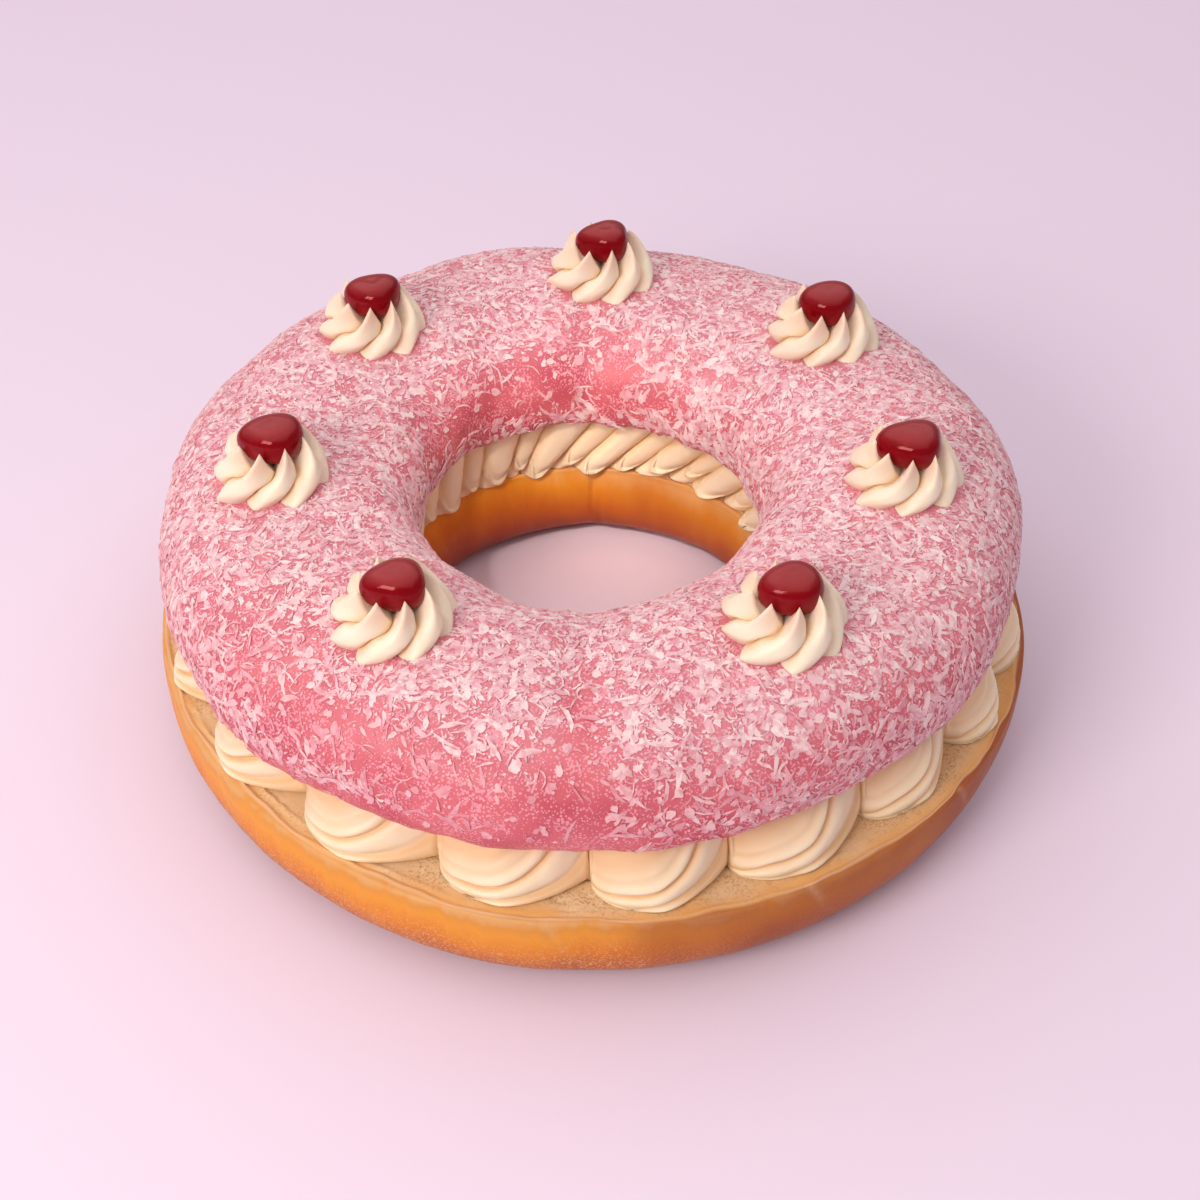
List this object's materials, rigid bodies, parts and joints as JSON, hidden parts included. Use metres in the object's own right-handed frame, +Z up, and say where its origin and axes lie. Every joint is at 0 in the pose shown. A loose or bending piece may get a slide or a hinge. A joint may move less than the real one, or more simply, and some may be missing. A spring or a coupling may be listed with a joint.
{
  "type": "doughnut",
  "caption": "Large ring doughnut, split and filled with piped cream swirls, with a pink coconut-coated upper half topped by cream rosettes and cherries.",
  "frame": {"origin": "on the surface that the doughnut stands on, at the centre of its hole", "axes": "+Z up, through the hole; -Y towards the front, where the upper half's seam and the widest gap between rosettes are; +X to the right"},
  "size_m": [0.2494, 0.25, 0.0981],
  "materials": {
    "fried_dough": "satin golden-brown fried crust, pale crumb on the cut face",
    "buttercream": "smooth satin cream",
    "pink_jelly_and_coconut": "glossy pink jelly under matt desiccated coconut",
    "rosette_cream": "smooth satin cream",
    "glace_cherry": "wet gloss, dark translucent red"
  },
  "bodies": {
    "root": {"base_half": "fried_dough", "cream_filling": "buttercream", "top_half": "pink_jelly_and_coconut", "rosette_1": "rosette_cream", "rosette_2": "rosette_cream", "rosette_3": "rosette_cream", "rosette_4": "rosette_cream", "rosette_5": "rosette_cream", "rosette_6": "rosette_cream", "rosette_7": "rosette_cream", "cherry_1": "glace_cherry", "cherry_2": "glace_cherry", "cherry_3": "glace_cherry", "cherry_4": "glace_cherry", "cherry_5": "glace_cherry", "cherry_6": "glace_cherry", "cherry_7": "glace_cherry"}
  },
  "joints": []
}
